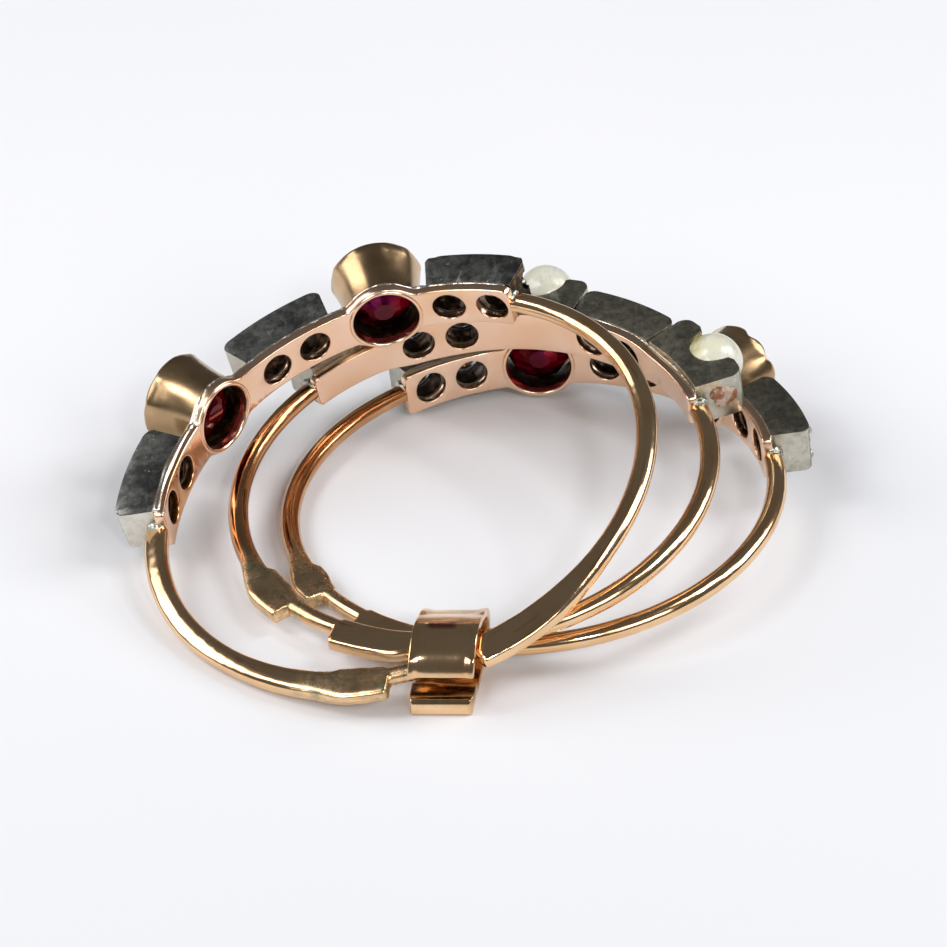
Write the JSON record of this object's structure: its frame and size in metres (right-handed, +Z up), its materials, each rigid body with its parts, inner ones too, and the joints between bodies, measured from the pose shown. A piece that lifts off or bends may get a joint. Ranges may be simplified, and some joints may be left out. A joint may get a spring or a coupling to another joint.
{
  "type": "ruby ring",
  "caption": "Finger ring of linked gold hoops that fan out on a loose collar, their heads set with rubies, pearls and small white stones.",
  "frame": {"origin": "on the floor, under the middle of the collar's flat underside", "axes": "+Z up from the floor, +Y from the collar towards the heads, +X to the right seen from the collar"},
  "size_m": [0.0262, 0.0234, 0.0079],
  "materials": {
    "gold": "polished, worn",
    "silver": "tarnished, scratched",
    "ruby": "polished",
    "white_stone": "polished",
    "pearl": "pearly"
  },
  "bodies": {
    "collar": {"collar": "gold"},
    "top": {"top_hoop": "gold", "top_box_left": "silver", "top_box_middle": "silver", "top_box_right": "silver", "top_ruby_left": "ruby", "top_ruby_right": "ruby", "top_stone_1": "white_stone", "top_stone_2": "white_stone", "top_stone_3": "white_stone", "top_stone_4": "white_stone", "top_stone_5": "white_stone", "top_stone_6": "white_stone"},
    "middle": {"middle_hoop": "gold", "middle_box_left": "silver", "middle_box_right": "silver", "pearl_cup_left": "silver", "pearl_cup_middle": "silver", "pearl_cup_right": "silver", "pearl_left": "pearl", "pearl_middle": "pearl", "pearl_right": "pearl", "middle_stone_1": "white_stone", "middle_stone_2": "white_stone", "middle_stone_3": "white_stone", "middle_stone_4": "white_stone"},
    "bottom": {"bottom_hoop": "gold", "bottom_box_left": "silver", "bottom_box_middle": "silver", "bottom_box_right": "silver", "bottom_ruby_left": "ruby", "bottom_ruby_right": "ruby", "bottom_stone_1": "white_stone", "bottom_stone_2": "white_stone", "bottom_stone_3": "white_stone", "bottom_stone_4": "white_stone", "bottom_stone_5": "white_stone", "bottom_stone_6": "white_stone"}
  },
  "joints": [
    {"name": "top_hoop_swing", "type": "hinge", "parent": "collar", "child": "top", "pos_m": [0.0001, -0.0012, 0.0018], "axis": [-0.3337, -0.4391, 0.8342], "range_deg": [-25, 0]},
    {"name": "middle_hoop_swing", "type": "hinge", "parent": "collar", "child": "middle", "pos_m": [0.0001, 0.0003, 0.0014], "axis": [-0.2099, -0.2862, 0.9349], "range_deg": [0, 6]},
    {"name": "bottom_hoop_swing", "type": "hinge", "parent": "collar", "child": "bottom", "pos_m": [0.0001, 0.00125, 0.0008], "axis": [-0.1092, -0.1489, 0.9828], "range_deg": [-2, 8]}
  ]
}
